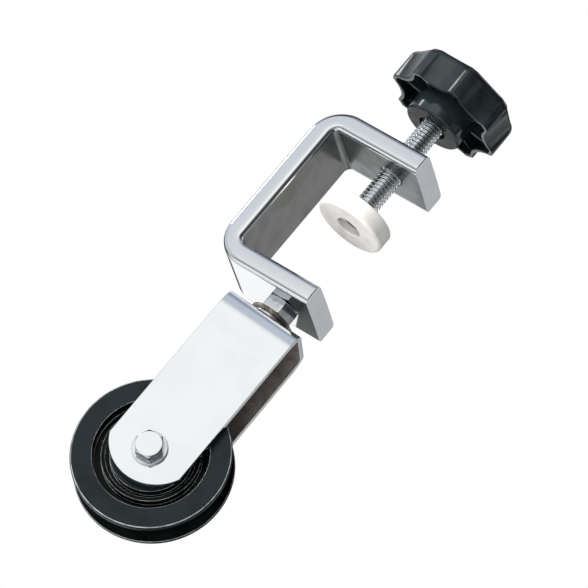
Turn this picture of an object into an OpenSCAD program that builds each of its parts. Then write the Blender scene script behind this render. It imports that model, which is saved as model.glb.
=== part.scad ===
// Clamp-on single sheave block: a flat-bar C clamp with a screw, a round
// pressure pad and a star knob, a swivel under its lower jaw, and a U-strap
// yoke that carries one grooved sheave on a bolt axle.
// Millimetres. Z runs up the clamp screw, Y along the sheave's axle.
// The origin is the middle of the lower jaw's clamping face.

/* [Clamp] */
// Thickness of the bent flat bar
bar_t = 7.6; // [6:0.2:10]
// Width of the bent flat bar
bar_w = 25.8; // [22:0.2:32]
// Clear height between the two jaws
jaw_gap = 50.6; // [46:0.2:70]
// From the screw's axis to the jaw ends
jaw_nose = 12.8; // [11:0.2:18]
// From the screw's axis to the inner face of the clamp's back
throat = 21.0; // [18:0.2:40]
// Outer radius of the two bends
bend_r = 12; // [9:0.5:13]
// Rounding of the jaw ends, seen from above
nose_r = 1.5; // [1:0.5:4]
// How far the clamp is turned about the swivel, in degrees
clamp_turn = -9.5; // [-45:0.5:45]

/* [Screw and knob] */
// Outside diameter of the clamp screw's thread
screw_d = 7.94; // [7:0.02:9]
// Height of the pressure pad above the lower jaw
pad_z = 27.3; // [22:0.1:36]
// Diameter of the pressure pad
pad_d = 25.2; // [20:0.2:30]
// Thickness of the pressure pad
pad_h = 6.5; // [6:0.1:8]
// Height of the knob's hub above the lower jaw
hub_z = 72.6; // [68:0.1:80]
// Length of the knob's hub below its rim
hub_h = 5.9; // [3:0.1:9]
// Radius over the knob's lobes
knob_r = 21.0; // [19:0.1:26]
// Height of the knob's rim
knob_h = 12.5; // [10:0.1:18]
// Number of lobes on the knob
lobes = 8; // [5:1:9]
// Radius of the scallops between the lobes
scallop_r = 11; // [9:0.5:18]
// Depth of the scallops
scallop_depth = 2.6; // [1:0.1:3]

/* [Yoke and sheave] */
// Width of the yoke strap
yoke_w = 28.5; // [24:0.1:34]
// Thickness of the yoke strap
yoke_t = 2.0; // [1.6:0.1:3]
// Outside depth of the yoke across its two plates
yoke_d = 19.7; // [19.4:0.1:24]
// From the top of the yoke to the axle
yoke_drop = 60.2; // [52:0.2:80]
// Outer radius of the yoke's bends
yoke_bend = 3; // [2.6:0.1:4]
// Radius of the yoke's rounded tips
tip_r = 15.8; // [15:0.1:17]
// From the axle to the lowest point of the tips
tip_drop = 11.7; // [9:0.1:14]
// Outside radius of the sheave
sheave_r = 26.1; // [24:0.1:30]
// Width of the sheave's rim
sheave_w = 12.3; // [11:0.1:13]
// Radius of the rope groove
groove_r = 3.6; // [3:0.1:4]
// Depth of the rope groove
groove_depth = 6.6; // [5:0.1:7]
// Radius of the axle bolt
axle_r = 3.175; // [3:0.025:3.5]

/* [Hidden] */
$fn = 96;
// Clearances, all radial or per face
screw_gap = 0.06;
swivel_gap = 0.06;
sleeve_gap = 0.05;
journal_gap = 0.05;
fit_gap = 0.02;
face_gap = 0.1;
screw_r = screw_d / 2;
jaw_top = jaw_gap + bar_t;
nut_h = 5.6;
nut_af = 11.11;
stud_r = 3.175;
stud_depth = 6;
brass_t = 1.3;
brass_r = 7.95;
spacer_t = 1.0;
spacer_r = 7.0;
nut_z = -bar_t - nut_h;
brass_z = nut_z - brass_t;
spacer_z = brass_z - spacer_t;
yoke_top = spacer_z - face_gap;
bridge_z = yoke_top - yoke_t;
stud_washer_t = 1.0;
stud_washer_r = 7.2;
stud_washer_z = bridge_z - face_gap - stud_washer_t;
stud_head_r = 5.8;
stud_head_h = 3.4;
stud_head_z = stud_washer_z - stud_head_h;
axle_z = yoke_top - yoke_drop;
plate_in = yoke_d / 2 - yoke_t;
plate_out = yoke_d / 2;
tip_cz = tip_r - tip_drop;
head_af = 8.73;
head_h = 3.2;
head_turn = 6;
axle_washer_t = 1.0;
axle_washer_r = 5.9;
thrust_t = 1.0;
thrust_r = 9.0;
thrust_in = plate_in - face_gap - thrust_t;
hub_half = thrust_in - 0.15;
bush_r = 7.0;
sleeve_r = 4.75;
boss_r = 11.2;
step_r = 13.3;
ring_in = 14.7;
ring_out = 16.2;
recess_r = 18.9;
inner_depth = 3.0;
ring_drop = 1.3;
recess_depth = 4.0;
head_face = -plate_out - axle_washer_t;
nut_face = plate_out + axle_washer_t;
axle_end = nut_face + nut_h + 1.6;
journal_r = 2.6;
pad_ring_t = 1.0;
pad_ring_r = 4.2;
pad_hole_r = 4.5;
pad_hole_h = 3.6;
pad_seat_h = 1.6;
rim_z = hub_z + hub_h;
knob_top = rim_z + knob_h;
hub_r = 10.6;
knob_wall = 1.7;
knob_roof = 3.2;
rib_t = 1.4;
rib_drop = 1.6;
hub_recess = 1.8;
insert_r = 5.6;
insert_h = 11;
scallop_at = knob_r - scallop_depth + scallop_r;
scallop_turn = clamp_turn + 2;
knob_edge = 3.0;

// What is left of a square corner outside a circle of radius r.
module corner_waste(r) {
    difference() {
        square([r + 1, r + 1]);
        circle(r);
    }
}

// A flat ring along Z, standing on z.
module ring(outer, inner, z, h) {
    translate([0, 0, z])
        difference() {
            cylinder(r = outer, h = h);
            translate([0, 0, -1]) cylinder(r = inner, h = h + 2);
        }
}

// A flat ring along Y at the axle, from y to y + h.
module axle_ring(outer, inner, y, h) {
    translate([0, y + h, axle_z])
        rotate([90, 0, 0])
            ring(outer, inner, 0, h);
}

// A bar along Y at the axle, from y to y + h.
module axle_rod(r, y, h) {
    translate([0, y + h, axle_z])
        rotate([90, 0, 0])
            cylinder(r = r, h = h);
}

// A hexagon along Z with both end faces chamfered.
module hex_body(af, h, low_cut, high_cut) {
    across = af / cos(30) / 2;
    intersection() {
        cylinder(r = across, h = h, $fn = 6);
        rotate_extrude()
            polygon([[0, 0], [af / 2 - low_cut, 0], [across, across - af / 2 + low_cut],
                [across, h - across + af / 2 - high_cut], [af / 2 - high_cut, h], [0, h]]);
    }
}

module frame_side() {
    back = throat + bar_t;
    inner_r = bend_r - bar_t;
    difference() {
        translate([-back, -bar_t])
            square([back + jaw_nose, jaw_gap + 2 * bar_t]);
        translate([-throat, 0])
            difference() {
                square([throat + jaw_nose + 2, jaw_gap]);
                translate([inner_r, inner_r]) rotate(180) corner_waste(inner_r);
                translate([inner_r, jaw_gap - inner_r]) rotate(90) corner_waste(inner_r);
            }
        translate([-back + bend_r, -bar_t + bend_r]) rotate(180) corner_waste(bend_r);
        translate([-back + bend_r, jaw_top - bend_r]) rotate(90) corner_waste(bend_r);
    }
}

module frame_plan() {
    long = throat + bar_t + jaw_nose;
    difference() {
        translate([-throat - bar_t - 1, -bar_w / 2]) square([long + 1, bar_w]);
        translate([jaw_nose - nose_r, bar_w / 2 - nose_r]) corner_waste(nose_r);
        translate([jaw_nose - nose_r, -bar_w / 2 + nose_r]) rotate(-90) corner_waste(nose_r);
    }
}

module clamp_frame() {
    color("silver")
        rotate([0, 0, clamp_turn])
            difference() {
                intersection() {
                    translate([0, bar_w / 2 + 1, 0])
                        rotate([90, 0, 0])
                            linear_extrude(height = bar_w + 2)
                                frame_side();
                    translate([0, 0, -bar_t - 1])
                        linear_extrude(height = jaw_gap + 2 * bar_t + 2)
                            frame_plan();
                }
                translate([0, 0, jaw_gap - 1])
                    cylinder(r = screw_r + screw_gap, h = bar_t + 2);
                translate([0, 0, -bar_t - 1])
                    cylinder(r = stud_r + fit_gap, h = stud_depth + 1);
            }
}

module swivel_stud() {
    color("silver") {
        union() {
            translate([0, 0, stud_head_z])
                rotate_extrude()
                    polygon([[0, 0], [stud_head_r - 1.2, 0], [stud_head_r, 1.2],
                        [stud_head_r, stud_head_h], [0, stud_head_h]]);
            translate([0, 0, stud_head_z + stud_head_h / 2])
                cylinder(r = stud_r, h = -bar_t + stud_depth - 0.2 - stud_head_z - stud_head_h / 2);
        }
    }
}

module swivel_nut() {
    color("silver")
        rotate([0, 0, clamp_turn])
            difference() {
                translate([0, 0, nut_z]) hex_body(nut_af, nut_h, 0.3, 0.3);
                translate([0, 0, nut_z - 1]) cylinder(r = stud_r + fit_gap, h = nut_h + 2);
            }
}

module swivel_washer() {
    color("tan")
        ring(brass_r, stud_r + fit_gap, brass_z, brass_t);
}

module swivel_spacer() {
    color("silver")
        ring(spacer_r, stud_r + fit_gap, spacer_z, spacer_t);
}

module stud_washer() {
    color("silver")
        ring(stud_washer_r, stud_r + fit_gap, stud_washer_z, stud_washer_t);
}

// The strap seen along X: a U with rounded outer and inner bends.
module yoke_side() {
    inner_r = yoke_bend - yoke_t;
    low = axle_z - tip_drop - 2;
    difference() {
        translate([-plate_out, low]) square([yoke_d, yoke_top - low]);
        difference() {
            translate([-plate_in, low - 1]) square([2 * plate_in, bridge_z - low + 1]);
            translate([plate_in - inner_r, bridge_z - inner_r]) corner_waste(inner_r);
            translate([-plate_in + inner_r, bridge_z - inner_r]) rotate(90) corner_waste(inner_r);
        }
        translate([plate_out - yoke_bend, yoke_top - yoke_bend]) corner_waste(yoke_bend);
        translate([-plate_out + yoke_bend, yoke_top - yoke_bend]) rotate(90) corner_waste(yoke_bend);
    }
}

// The strap seen along Y: straight sides and a round tip.
module yoke_front() {
    union() {
        translate([-yoke_w / 2, axle_z + tip_cz]) square([yoke_w, -axle_z - tip_cz]);
        intersection() {
            translate([0, axle_z + tip_cz]) circle(tip_r);
            translate([-yoke_w / 2, axle_z - tip_drop - 1]) square([yoke_w, tip_drop + tip_cz + 2]);
        }
    }
}

module yoke() {
    color("white")
        difference() {
            intersection() {
                translate([-yoke_w / 2 - 1, 0, 0])
                    rotate([90, 0, 90])
                        linear_extrude(height = yoke_w + 2)
                            yoke_side();
                translate([0, plate_out + 1, 0])
                    rotate([90, 0, 0])
                        linear_extrude(height = yoke_d + 2)
                            yoke_front();
            }
            translate([0, 0, bridge_z - 2]) cylinder(r = stud_r + swivel_gap, h = yoke_t + 4);
            axle_rod(axle_r + fit_gap, -plate_out - 1, yoke_d + 2);
        }
}

module axle_bolt() {
    color("silver")
        union() {
            translate([0, head_face, axle_z])
                rotate([90, -head_turn, 0])
                    hex_body(head_af, head_h, 0.2, 0.35);
            axle_rod(axle_r, head_face - head_h / 2, axle_end - head_face + head_h / 2);
        }
}

module axle_head_washer() {
    color("silver")
        axle_ring(axle_washer_r, axle_r + fit_gap, head_face, axle_washer_t);
}

module axle_sleeve() {
    color("silver")
        axle_ring(sleeve_r, axle_r + fit_gap, -plate_in + 0.01, 2 * plate_in - 0.02);
}

module thrust_washer_front() {
    color("silver")
        axle_ring(thrust_r, sleeve_r + fit_gap, -plate_in + face_gap / 2, thrust_t);
}

module thrust_washer_back() {
    color("silver")
        axle_ring(thrust_r, sleeve_r + fit_gap, plate_in - face_gap / 2 - thrust_t, thrust_t);
}

module axle_nut_washer() {
    color("silver")
        axle_ring(axle_washer_r + 0.6, axle_r + fit_gap, plate_out, axle_washer_t);
}

module axle_nut() {
    color("silver")
        difference() {
            translate([0, nut_face, axle_z])
                rotate([-90, 30, 0])
                    hex_body(nut_af, nut_h, 0.3, 0.3);
            axle_rod(axle_r + fit_gap, nut_face - 1, nut_h + 2);
        }
}

// Half of the sheave's section in radius and width, before mirroring.
module sheave_half() {
    half = sheave_w / 2;
    floor_r = sheave_r - groove_depth;
    difference() {
        polygon([[bush_r, -1], [bush_r, hub_half], [boss_r, hub_half],
            [boss_r, half - 0.4], [step_r, half - 0.4], [step_r, half - inner_depth],
            [ring_in, half - inner_depth], [ring_in, half - ring_drop], [ring_out, half - ring_drop],
            [ring_out, half - recess_depth], [recess_r, half - recess_depth], [recess_r, half],
            [sheave_r - 1, half], [sheave_r, half - 1], [sheave_r, -1]]);
        translate([floor_r + groove_r, 0]) circle(groove_r);
        polygon([[floor_r + groove_r - 0.6, -2], [floor_r + groove_r - 0.6, groove_r - 0.05],
            [sheave_r + 0.1, groove_r + 1.15], [sheave_r + 2, groove_r + 2], [sheave_r + 2, -2]]);
        translate([0, -5]) square([sheave_r + 3, 5]);
    }
}

module sheave() {
    color("dimgray")
        translate([0, 0, axle_z])
            rotate([-90, 0, 0])
                rotate_extrude()
                    union() {
                        sheave_half();
                        mirror([0, 1]) sheave_half();
                    }
}

module sheave_bush() {
    color("tan")
        axle_ring(bush_r, sleeve_r + sleeve_gap, -hub_half, 2 * hub_half);
}

module clamp_screw() {
    tip_z = pad_z + pad_hole_h - pad_ring_t - 0.8;
    seat_z = pad_z + pad_h - pad_seat_h + face_gap;
    end_z = hub_z + hub_recess + insert_h - 1;
    color("silver")
        rotate_extrude()
            polygon([[0, tip_z], [journal_r - 0.5, tip_z], [journal_r, tip_z + 0.5],
                [journal_r, seat_z], [screw_r - 0.5, seat_z], [screw_r, seat_z + 0.5],
                [screw_r, end_z], [0, end_z]]);
}

module knob_plan(wall) {
    difference() {
        circle(knob_r - wall);
        for (k = [0 : lobes - 1])
            rotate(scallop_turn + k * 360 / lobes)
                translate([scallop_at, 0])
                    circle(scallop_r + wall);
    }
}

module star_knob() {
    color("dimgray")
        difference() {
            union() {
                difference() {
                    intersection() {
                        translate([0, 0, rim_z])
                            linear_extrude(height = knob_h)
                                knob_plan(0);
                        translate([0, 0, rim_z])
                            rotate_extrude()
                                difference() {
                                    square([knob_r, knob_h]);
                                    translate([knob_r - knob_edge, knob_h - knob_edge])
                                        corner_waste(knob_edge);
                                }
                    }
                    translate([0, 0, rim_z - 1])
                        linear_extrude(height = knob_h - knob_roof + 1)
                            knob_plan(knob_wall);
                }
                translate([0, 0, hub_z])
                    cylinder(r1 = hub_r, r2 = hub_r + 0.8, h = knob_top - hub_z - 1.5);
                for (k = [0 : lobes - 1])
                    rotate([0, 0, scallop_turn + (k + 0.5) * 360 / lobes])
                        translate([hub_r - 1, -rib_t / 2, rim_z + rib_drop])
                            cube([knob_r - knob_wall - hub_r + 1.5, rib_t, knob_h - rib_drop - 1.5]);
            }
            translate([0, 0, hub_z - 1]) cylinder(r = screw_r + 1.1, h = hub_recess + 1);
            translate([0, 0, hub_z + hub_recess - 0.1]) cylinder(r = insert_r, h = insert_h + 0.1);
        }
}

module knob_insert() {
    color("goldenrod")
        difference() {
            translate([0, 0, hub_z + hub_recess]) cylinder(r = insert_r, h = insert_h);
            translate([0, 0, hub_z]) cylinder(r = screw_r + fit_gap, h = hub_recess + insert_h - 0.98);
        }
}

module pressure_pad() {
    color("ivory")
        translate([0, 0, pad_z])
            rotate_extrude()
                difference() {
                    square([pad_d / 2, pad_h]);
                    translate([pad_d / 2 - 1.2, 1.2]) rotate(-90) corner_waste(1.2);
                    translate([pad_d / 2 - 0.6, pad_h - 0.6]) corner_waste(0.6);
                    translate([-1, -1]) square([journal_r + journal_gap + 1, pad_h + 2]);
                    translate([-1, -1]) square([pad_hole_r + 1, pad_hole_h + 1]);
                    translate([-1, pad_h - pad_seat_h]) square([screw_r + 0.2 + 1, pad_seat_h + 1]);
                }
}

module pad_ring() {
    color("silver")
        ring(pad_ring_r, journal_r + fit_gap, pad_z + pad_hole_h - face_gap - pad_ring_t, pad_ring_t);
}

clamp_frame();
swivel_stud();
swivel_nut();
swivel_washer();
swivel_spacer();
stud_washer();
yoke();
axle_bolt();
axle_head_washer();
axle_sleeve();
thrust_washer_front();
thrust_washer_back();
axle_nut_washer();
axle_nut();
sheave();
sheave_bush();
clamp_screw();
star_knob();
knob_insert();
pressure_pad();
pad_ring();
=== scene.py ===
import math

import bmesh
import bpy
from mathutils import Matrix, Vector


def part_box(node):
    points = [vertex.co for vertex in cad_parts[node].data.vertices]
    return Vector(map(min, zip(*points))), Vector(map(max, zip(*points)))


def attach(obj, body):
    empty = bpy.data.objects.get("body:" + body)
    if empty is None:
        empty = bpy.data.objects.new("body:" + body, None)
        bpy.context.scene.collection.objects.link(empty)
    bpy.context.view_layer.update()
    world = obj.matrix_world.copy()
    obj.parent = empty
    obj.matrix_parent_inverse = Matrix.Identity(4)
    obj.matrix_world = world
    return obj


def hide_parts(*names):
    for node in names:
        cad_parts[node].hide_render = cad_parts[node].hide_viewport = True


mm = 0.001
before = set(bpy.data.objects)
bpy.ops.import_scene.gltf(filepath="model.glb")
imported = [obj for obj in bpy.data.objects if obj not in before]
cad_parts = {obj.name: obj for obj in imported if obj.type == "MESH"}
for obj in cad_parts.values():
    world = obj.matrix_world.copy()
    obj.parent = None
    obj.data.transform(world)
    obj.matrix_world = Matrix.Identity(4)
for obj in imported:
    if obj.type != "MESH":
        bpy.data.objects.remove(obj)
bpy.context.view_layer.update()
scene = bpy.context.scene
scene.view_settings.view_transform = "Standard"
print("frame loaded:", len(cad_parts), "nodes")


# A CAD node's lowest and highest corner, in mm
def boxOf(node):
    low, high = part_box(node)
    return low / mm, high / mm


axleZ = (boxOf("axle_sleeve")[0].z + boxOf("axle_sleeve")[1].z) / 2
toAxle = Matrix.Translation((0, 0, axleZ))
alongAxle = toAxle @ Matrix.Rotation(math.radians(90), 4, "X")  # local Z becomes -Y
awayFromBolt = toAxle @ Matrix.Rotation(math.radians(-90), 4, "X")  # local Z becomes +Y
clampTurn = math.radians(-9.5)
turnedClamp = Matrix.Rotation(clampTurn, 4, "Z")


# Camera: below the yoke's front, rolled so that the clamp leans to the right
cameraSet = {"azimuth": 18.9, "elevation": -18.2, "roll": 39.99, "distance": 1.4684, "lens": 277.05,
             "aim": (0.00027, 0.00009, -0.00218)}


def directionAt(azimuth, elevation):
    a, e = math.radians(azimuth), math.radians(elevation)
    return Vector((math.sin(a) * math.cos(e), -math.cos(a) * math.cos(e), math.sin(e)))


def makeCamera(s):
    back = directionAt(s["azimuth"], s["elevation"])
    level = Vector((math.cos(math.radians(s["azimuth"])), math.sin(math.radians(s["azimuth"])), 0))
    roll = math.radians(s["roll"])
    right = level * math.cos(roll) + back.cross(level) * math.sin(roll)
    up = back.cross(right)
    data = bpy.data.cameras.new("camera")
    data.lens = s["lens"]
    data.sensor_width = 36
    data.clip_end = 20
    camera = bpy.data.objects.new("camera", data)
    scene.collection.objects.link(camera)
    turn = Matrix((right, up, back)).transposed().to_4x4()
    camera.matrix_world = Matrix.Translation(Vector(s["aim"]) + back * s["distance"]) @ turn
    scene.camera = camera


makeCamera(cameraSet)
print("camera placed")


# Node helpers, for shader trees and geometry trees alike
def feed(tree, socket, value):
    if isinstance(value, bpy.types.NodeSocket):
        tree.links.new(value, socket)
    else:
        socket.default_value = value


def calc(tree, operation, *values):
    node = tree.nodes.new("ShaderNodeMath")
    node.operation = operation
    for socket, value in zip(node.inputs, values):
        feed(tree, socket, value)
    return node.outputs[0]


def plus(tree, first, second):
    return calc(tree, "ADD", first, second)


def minus(tree, first, second):
    return calc(tree, "SUBTRACT", first, second)


def times(tree, first, second):
    return calc(tree, "MULTIPLY", first, second)


def rescale(tree, value, fromLow, fromHigh, toLow=0.0, toHigh=1.0, kind="SMOOTHSTEP"):
    node = tree.nodes.new("ShaderNodeMapRange")
    node.interpolation_type = kind
    for socket, given in zip(node.inputs, (value, fromLow, fromHigh, toLow, toHigh)):
        feed(tree, socket, given)
    return node.outputs[0]


def blendColors(tree, share, first, second, kind="MIX"):
    node = tree.nodes.new("ShaderNodeMix")
    node.data_type = "RGBA"
    node.blend_type = kind
    feed(tree, node.inputs[0], share)
    for socket, color in ((node.inputs[6], first), (node.inputs[7], second)):
        feed(tree, socket, (*color, 1) if isinstance(color, tuple) else color)
    return node.outputs[2]


def noise(tree, coordinate, scale, detail=2.0, roughness=0.5):
    node = tree.nodes.new("ShaderNodeTexNoise")
    feed(tree, node.inputs["Vector"], coordinate)
    feed(tree, node.inputs["Scale"], scale)
    node.inputs["Detail"].default_value = detail
    node.inputs["Roughness"].default_value = roughness
    return node.outputs["Fac"]


def stretched(tree, coordinate, scale, turn=(0, 0, 0)):
    node = tree.nodes.new("ShaderNodeMapping")
    feed(tree, node.inputs["Vector"], coordinate)
    node.inputs["Scale"].default_value = scale
    node.inputs["Rotation"].default_value = turn
    return node.outputs[0]


# Effects that several finishes share
def newGroup(name, inputs, outputs):
    group = bpy.data.node_groups.new(name, "ShaderNodeTree")
    group.interface.new_socket(name="Coordinate", in_out="INPUT", socket_type="NodeSocketVector")
    for label, value in inputs.items():
        socket = group.interface.new_socket(name=label, in_out="INPUT", socket_type="NodeSocketFloat")
        socket.default_value = value
    for label in outputs:
        group.interface.new_socket(name=label, in_out="OUTPUT", socket_type="NodeSocketFloat")
    return group, group.nodes.new("NodeGroupInput").outputs, group.nodes.new("NodeGroupOutput").inputs


def makeHairlines():
    group, given, result = newGroup("hairlines", {"Scale": 1.0, "Amount": 0.5}, ["Mask", "Height"])
    total = None
    thinness = (90, 3200, 90)
    for turn in ((0.3, 0.2, 0.5), (0.9, -0.6, 2.1), (-0.4, 1.2, 3.6)):  # three sets of fine scratches
        place = stretched(group, given["Coordinate"], thinness, turn)
        scaled = group.nodes.new("ShaderNodeVectorMath")
        scaled.operation = "SCALE"
        feed(group, scaled.inputs[0], place)
        feed(group, scaled.inputs["Scale"], given["Scale"])
        line = rescale(group, noise(group, scaled.outputs[0], 1.0, 1.0), 0.66, 0.74)
        total = line if total is None else calc(group, "MAXIMUM", total, line)
    mask = times(group, total, given["Amount"])
    feed(group, result["Mask"], mask)
    feed(group, result["Height"], minus(group, 1.0, mask))
    return group


def makeMottle():
    group, given, result = newGroup("mottle", {"Scale": 200.0, "Low": 0.35, "High": 0.65}, ["Value"])
    cloud = noise(group, given["Coordinate"], given["Scale"], 5.0, 0.6)
    feed(group, result["Value"], rescale(group, cloud, given["Low"], given["High"]))
    return group


def makeGrain():
    group, given, result = newGroup("grain", {"Scale": 4000.0, "Wave": 60.0, "Fine": 0.5}, ["Height"])
    fine = noise(group, given["Coordinate"], given["Scale"], 3.0, 0.6)
    broad = noise(group, given["Coordinate"], given["Wave"], 1.0)
    mixed = calc(group, "MULTIPLY_ADD", fine, given["Fine"], broad)
    feed(group, result["Height"], mixed)
    return group


hairlines = makeHairlines()
mottle = makeMottle()
grain = makeGrain()


def startMaterial(name, settings):
    material = bpy.data.materials.new(name)
    material.use_nodes = True
    tree = material.node_tree
    shader = tree.nodes["Principled BSDF"]
    for socket in ("Metallic", "IOR", "Specular IOR Level"):
        if socket in settings:
            shader.inputs[socket].default_value = settings[socket]
    place = tree.nodes.new("ShaderNodeTexCoord").outputs["Object"]
    return material, tree, shader, place


def useGroup(tree, group, place, **values):
    node = tree.nodes.new("ShaderNodeGroup")
    node.node_tree = group
    feed(tree, node.inputs["Coordinate"], place)
    for label, value in values.items():
        feed(tree, node.inputs[label], value)
    return node.outputs


def addBump(tree, shader, *layers):
    last = None
    for height, distance in layers:
        node = tree.nodes.new("ShaderNodeBump")
        node.inputs["Distance"].default_value = distance
        feed(tree, node.inputs["Height"], height)
        if last is not None:
            feed(tree, node.inputs["Normal"], last)
        last = node.outputs[0]
    feed(tree, shader.inputs["Normal"], last)


# Metals: a plated or bare surface with clouding, hairline scratches and a slight waviness. What a metal
# doesn't give comes from the base. Wave heights and the shade's place are in metres.
metalBase = {"Metallic": 1.0, "scratch": 0.2, "wave": 260.0, "waveHeight": 0.00006, "fine": 0.004}
metalSet = {
    "polishedChrome": {"bright": (0.95, 0.96, 0.97), "dim": (0.90, 0.92, 0.94), "smooth": 0.03,
                       "rough": 0.07, "cloud": 60.0, "wave": 22.0, "waveHeight": 0.00004,
                       "fine": 0.0004},
    # undersideChrome: its shade colour is painted shade on the underside past the nut
    "undersideChrome": {"bright": (0.95, 0.96, 0.97), "dim": (0.88, 0.90, 0.92), "smooth": 0.03,
                        "rough": 0.08, "cloud": 60.0, "wave": 22.0, "waveHeight": 0.00004,
                        "fine": 0.0004, "shade": (0.15, 0.16, 0.155), "shadeRough": 0.5,
                        "shadeTurn": 9.5, "shadeLean": 0.344, "shadeFrom": 0.0061, "shadeTo": 0.0067},
    "satinChrome": {"bright": (0.90, 0.92, 0.94), "dim": (0.84, 0.86, 0.89), "smooth": 0.12,
                    "rough": 0.16, "cloud": 90.0, "wave": 35.0, "fine": 0.001},
    # the clamp's inside faces: the darker colour is painted shade, the roughness a dull finish
    "dullShadedPlate": {"bright": (0.33, 0.33, 0.315), "dim": (0.28, 0.277, 0.26), "smooth": 0.20,
                  "rough": 0.30, "cloud": 95.0, "scratch": 0.3, "wave": 80.0, "waveHeight": 0.00010,
                  "fine": 0.003},
    "jawShadow": {"bright": (0.22, 0.235, 0.24), "dim": (0.15, 0.16, 0.16), "smooth": 0.28,
                  "rough": 0.38, "cloud": 45.0, "scratch": 0.3, "wave": 60.0, "waveHeight": 0.00010,
                  "fine": 0.003},
    "yokeInside": {"Metallic": 0.5, "bright": (0.40, 0.36, 0.33), "dim": (0.22, 0.19, 0.17),
                   "smooth": 0.25, "rough": 0.45, "cloud": 260.0, "scratch": 0.5, "wave": 90.0,
                   "waveHeight": 0.00015, "fine": 0.006},
    "screwSteel": {"bright": (0.93, 0.95, 0.96), "dim": (0.80, 0.84, 0.86), "smooth": 0.05,
                   "rough": 0.12, "cloud": 300.0, "scratch": 0.1, "wave": 200.0, "waveHeight": 0.000005,
                   "fine": 0.002},
    # dark brown steel for the parts in the pad's hole: its darkness is painted shade
    "padHoleShadedSteel": {"bright": (0.17, 0.14, 0.11), "dim": (0.07, 0.055, 0.045), "smooth": 0.25,
                   "rough": 0.40, "cloud": 500.0},
    # the bolt head's sides: a darker colour that is painted shade
    "darkSide": {"bright": (0.42, 0.46, 0.49), "dim": (0.26, 0.29, 0.31), "smooth": 0.12, "rough": 0.22,
                 "cloud": 400.0, "waveHeight": 0.00004},
    "brushedWasher": {"bright": (0.93, 0.94, 0.95), "dim": (0.88, 0.90, 0.91), "smooth": 0.24,
                      "rough": 0.32, "cloud": 300.0, "scratch": 0.3, "waveHeight": 0.00003},
    "zincSteel": {"bright": (0.84, 0.87, 0.88), "dim": (0.62, 0.66, 0.68), "smooth": 0.07,
                  "rough": 0.20, "cloud": 320.0, "scratch": 0.3},
    "tanBrass": {"bright": (0.50, 0.44, 0.36), "dim": (0.24, 0.20, 0.16), "smooth": 0.28, "rough": 0.5,
                 "cloud": 380.0, "scratch": 0.4, "wave": 150.0, "waveHeight": 0.00005, "fine": 0.01},
    "bronze": {"bright": (0.55, 0.36, 0.17), "dim": (0.28, 0.17, 0.09), "smooth": 0.3, "rough": 0.5,
               "cloud": 420.0, "scratch": 0.3, "wave": 150.0, "waveHeight": 0.00005, "fine": 0.01},
}


def makeMetal(name, own):
    s = {**metalBase, **own}
    material, tree, shader, place = startMaterial(name, s)
    cloud = useGroup(tree, mottle, place, Scale=s["cloud"], Low=0.38, High=0.66)["Value"]
    lines = useGroup(tree, hairlines, place, Scale=1.0, Amount=s["scratch"])
    surface = useGroup(tree, grain, place, Scale=9000.0, Wave=s["wave"], Fine=s["fine"])["Height"]
    tone = blendColors(tree, cloud, s["bright"], s["dim"])
    wearAndShade = blendColors(tree, times(tree, lines["Mask"], 0.3), tone, s["dim"])
    haze = rescale(tree, cloud, 0.0, 1.0, s["smooth"], s["rough"])
    if "shade" in s:  # painted shade on one side of the nut: darker, rougher plating past a slanted line
        spun = stretched(tree, place, (1, 1, 1), (0, 0, math.radians(s["shadeTurn"])))
        parts = tree.nodes.new("ShaderNodeSeparateXYZ")
        feed(tree, parts.inputs[0], spun)
        slanted = calc(tree, "MULTIPLY_ADD", parts.outputs[1], s["shadeLean"], parts.outputs[0])
        shaded = rescale(tree, slanted, s["shadeFrom"], s["shadeTo"])
        wearAndShade = blendColors(tree, shaded, wearAndShade, s["shade"])
        haze = calc(tree, "MULTIPLY_ADD", shaded, s["shadeRough"], haze)
    feed(tree, shader.inputs["Base Color"], wearAndShade)
    feed(tree, shader.inputs["Roughness"], calc(tree, "MULTIPLY_ADD", lines["Mask"], 0.12, haze))
    addBump(tree, shader, (surface, s["waveHeight"]), (lines["Height"], 0.0000006))
    return material


# Plastics: moulded surface with a fine grain, sink waviness and handling marks
plasticBase = {"IOR": 1.45, "scratch": 0.2, "wave": 120.0, "waveHeight": 0.0001, "fine": 0.02,
               "grainScale": 3000.0}
plasticSet = {
    "knobBlack": {"IOR": 1.6, "bright": (0.014, 0.021, 0.023), "dim": (0.005, 0.008, 0.009),
                  "smooth": 0.08, "rough": 0.16, "cloud": 110.0, "scratch": 0.15, "wave": 70.0,
                  "waveHeight": 0.0002, "fine": 0.010, "grainScale": 3500.0},
    "knobDark": {"IOR": 1.5, "Specular IOR Level": 0.12, "bright": (0.012, 0.017, 0.018),
                 "dim": (0.004, 0.005, 0.006), "smooth": 0.25, "rough": 0.4, "cloud": 260.0,
                 "waveHeight": 0.0002, "grainScale": 3500.0},
    "sheaveBlack": {"Specular IOR Level": 0.2, "bright": (0.009, 0.014, 0.016),
                    "dim": (0.006, 0.009, 0.010), "smooth": 0.20, "rough": 0.28, "cloud": 90.0,
                    "wave": 90.0},
    # the sheave's recess and groove: a near-black colour that is painted shade
    "sheaveDark": {"Specular IOR Level": 0.1, "bright": (0.003, 0.004, 0.004),
                   "dim": (0.001, 0.001, 0.001), "smooth": 0.12, "rough": 0.22, "cloud": 140.0,
                   "scratch": 0.3},
    # the sheave's edge crests: lighter grey, partly wear and partly a painted highlight
    "sheaveWorn": {"bright": (0.34, 0.35, 0.35), "dim": (0.10, 0.105, 0.105), "smooth": 0.2,
                   "rough": 0.3, "cloud": 300.0, "scratch": 0.3},
    "padWhite": {"IOR": 1.46, "bright": (0.86, 0.84, 0.80), "dim": (0.76, 0.72, 0.66), "smooth": 0.35,
                 "rough": 0.5, "cloud": 160.0, "wave": 90.0, "waveHeight": 0.0002, "fine": 0.012,
                 "grainScale": 2600.0},
}


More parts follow.
